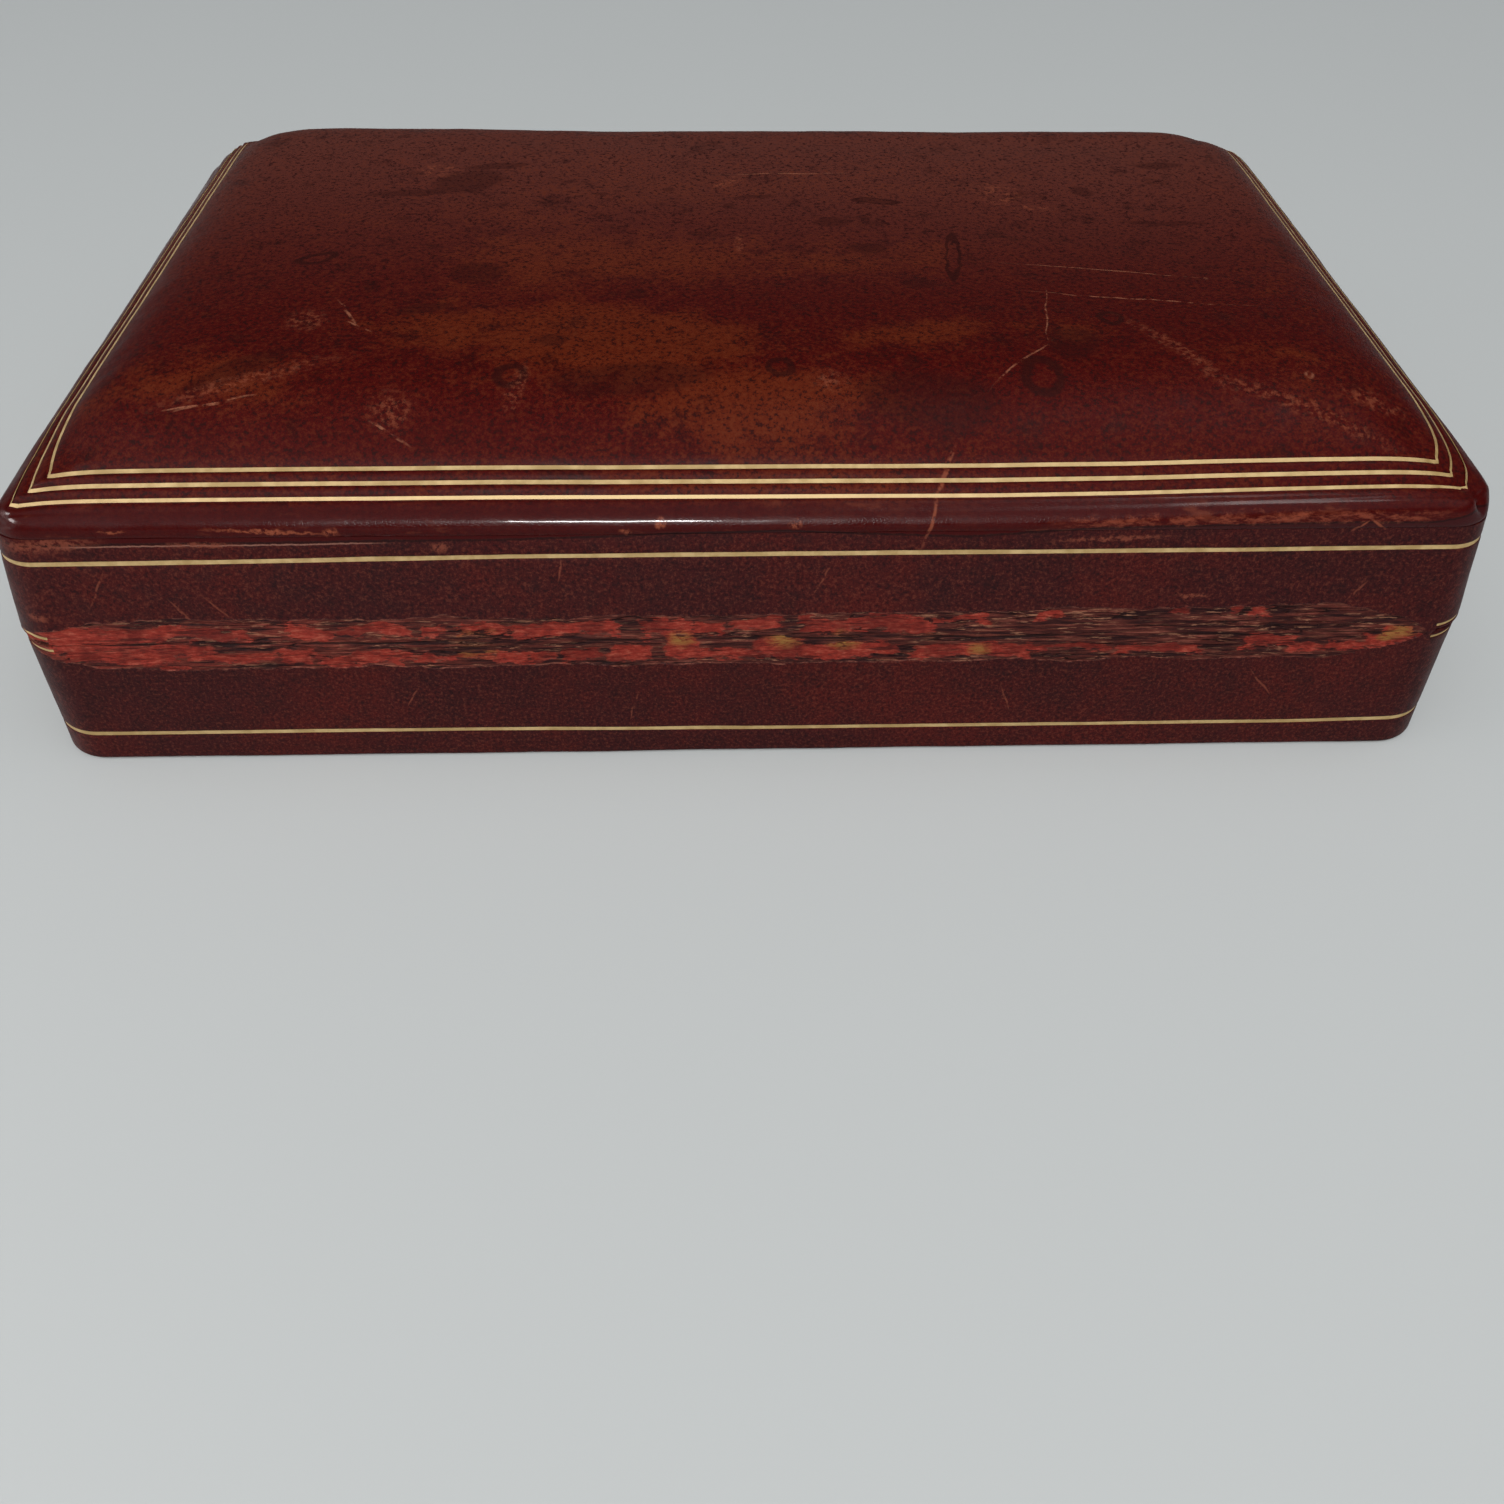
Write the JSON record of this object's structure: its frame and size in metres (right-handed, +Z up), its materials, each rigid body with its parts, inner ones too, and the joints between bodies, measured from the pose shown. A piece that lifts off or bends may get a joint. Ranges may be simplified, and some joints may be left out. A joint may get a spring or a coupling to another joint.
{
  "type": "dresser box",
  "caption": "Leather-covered wooden box for papers and keepsakes, with a padded, gilt-lined lid that turns on a leather joint along its back.",
  "frame": {"origin": "centre of the underside, on the table", "axes": "+X along the box, +Y from the hinged back to the front, +Z up"},
  "size_m": [0.254, 0.165, 0.0636],
  "materials": {
    "top_leather": "polished oxblood calf, rubbed at the edges",
    "wall_leather": "polished dark burgundy calf",
    "joint_leather": "burgundy calf with its grain worn through to the red flesh side",
    "gilt": "gold foil, dulled",
    "wood": "bare, sawn and sanded",
    "lining": "satin cloth over card",
    "joint_cloth": "plain woven cotton",
    "wadding": "cotton wadding",
    "underside": "thin matt skiver"
  },
  "bodies": {
    "base": {"base_bottom_cover": "underside", "base_wall_leather": "wall_leather", "base_back_wall": "wood", "base_right_wall": "wood", "base_front_wall": "wood", "base_left_wall": "wood", "base_floor_board": "wood", "base_lining_back": "lining", "base_lining_front": "lining", "base_lining_left": "lining", "base_lining_right": "lining", "base_floor_pad": "lining", "joint_leather_base_half": "joint_leather", "joint_cloth_base_half": "joint_cloth", "base_gilt_line": "gilt", "base_rim_gilt_line": "gilt"},
    "lid": {"lid_wall_leather": "wall_leather", "lid_back_wall": "wood", "lid_right_wall": "wood", "lid_front_wall": "wood", "lid_left_wall": "wood", "lid_top_board": "wood", "lid_pad": "wadding", "lid_top_leather": "top_leather", "lid_lining_panel": "lining", "lid_lining_back": "lining", "lid_lining_front": "lining", "lid_lining_left": "lining", "lid_lining_right": "lining", "joint_leather_lid_half": "joint_leather", "joint_cloth_lid_half": "joint_cloth", "lid_top_gilt_line_1": "gilt", "lid_top_gilt_line_2": "gilt", "lid_top_gilt_line_3": "gilt", "lid_gilt_line": "gilt", "lid_rim_gilt_line": "gilt"}
  },
  "joints": [
    {"name": "lid_hinge", "type": "hinge", "parent": "base", "child": "lid", "pos_m": [0, -0.0825, 0.0261], "axis": [1, 0, 0], "range_deg": [0, 155]}
  ]
}
